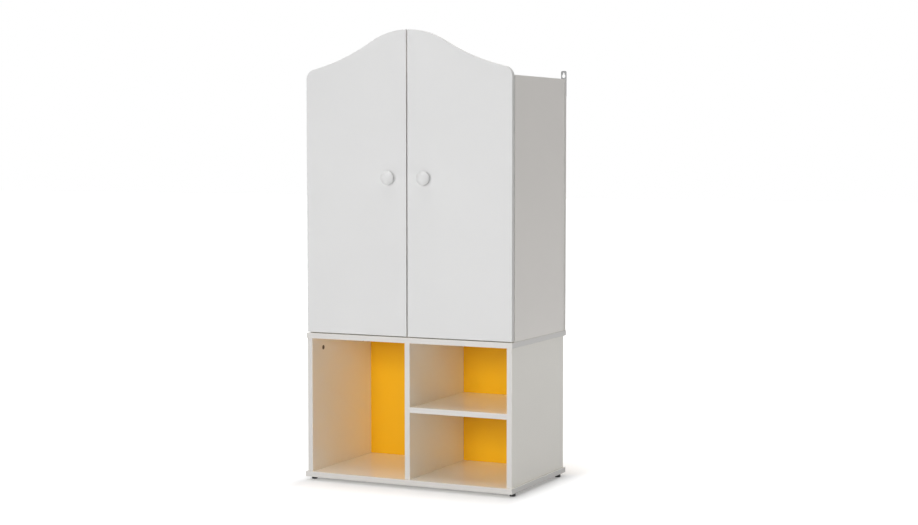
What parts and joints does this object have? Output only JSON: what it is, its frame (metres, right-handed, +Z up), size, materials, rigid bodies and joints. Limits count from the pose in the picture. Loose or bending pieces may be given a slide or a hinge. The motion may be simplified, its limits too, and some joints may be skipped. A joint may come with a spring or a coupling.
{
  "type": "kids wardrobe",
  "caption": "White kids wardrobe with wavy-topped hinged doors over a hanging space, standing on an open shelf unit with a yellow back, with keyhole wall brackets.",
  "frame": {"origin": "on the floor under the middle of the whole wardrobe, at the bottom centre of its box", "axes": "+Z up, the doors face -Y, +X to the viewer's right when facing the doors"},
  "size_m": [0.76, 0.483, 1.5],
  "materials": {
    "white_board": "white melamine on board, satin",
    "yellow_board": "warm yellow melamine on board, satin",
    "white_knob": "white lacquer, satin",
    "black_plastic": "moulded, matte",
    "zinc_plate": "zinc plated",
    "chrome_tube": "bright plated tube",
    "nickel_hinge": "nickel plated",
    "steel_screw": "zinc plated steel",
    "cast_cam": "dark die-cast zinc",
    "beech_dowel": "plain beech",
    "soft_bumper": "clear-grey elastomer"
  },
  "bodies": {
    "cabinet": {"back_panel_screws": "steel_screw", "base_back_panel": "yellow_board", "base_bottom_board": "white_board", "base_cam_bolts": "steel_screw", "base_cam_locks": "cast_cam", "base_divider": "white_board", "base_dowels": "beech_dowel", "base_left_side": "white_board", "base_panel_screws": "steel_screw", "base_right_side": "white_board", "base_shelf": "white_board", "base_top_board": "white_board", "clothes_rail": "chrome_tube", "glide_front_left": "black_plastic", "glide_front_right": "black_plastic", "glide_rear_left": "black_plastic", "glide_rear_right": "black_plastic", "glide_screws": "steel_screw", "left_hinge_arm_screws": "steel_screw", "left_hinge_arms": "nickel_hinge", "left_hinge_plate_screws": "steel_screw", "left_hinge_plates": "nickel_hinge", "left_rail_socket": "chrome_tube", "left_wall_bracket": "zinc_plate", "left_wardrobe_side": "white_board", "rail_socket_screws": "steel_screw", "right_hinge_arm_screws": "steel_screw", "right_hinge_arms": "nickel_hinge", "right_hinge_plate_screws": "steel_screw", "right_hinge_plates": "nickel_hinge", "right_rail_socket": "chrome_tube", "right_wall_bracket": "zinc_plate", "right_wardrobe_side": "white_board", "stacking_bolts": "steel_screw", "stacking_sleeve_nuts": "steel_screw", "wall_bracket_screws": "steel_screw", "wardrobe_back_panel": "white_board", "wardrobe_bottom_panel": "white_board", "wardrobe_cam_bolts": "steel_screw", "wardrobe_cam_locks": "cast_cam", "wardrobe_dowels": "beech_dowel", "wardrobe_top_panel": "white_board"},
    "left_door": {"left_door": "white_board", "left_knob": "white_knob", "left_knob_screw": "steel_screw", "left_hinge_cups": "nickel_hinge", "left_hinge_pins": "nickel_hinge", "left_hinge_cup_screws": "steel_screw", "left_door_bumpers": "soft_bumper"},
    "right_door": {"right_door": "white_board", "right_knob": "white_knob", "right_knob_screw": "steel_screw", "right_hinge_cups": "nickel_hinge", "right_hinge_pins": "nickel_hinge", "right_hinge_cup_screws": "steel_screw", "right_door_bumpers": "soft_bumper"}
  },
  "joints": [
    {"name": "left_door_hinge", "type": "hinge", "parent": "cabinet", "child": "left_door", "pos_m": [-0.36697, -0.2015, 0.923], "axis": [0, 0, -1], "range_deg": [0, 95]},
    {"name": "right_door_hinge", "type": "hinge", "parent": "cabinet", "child": "right_door", "pos_m": [0.36697, -0.2015, 0.923], "axis": [0, 0, 1], "range_deg": [0, 95]}
  ]
}
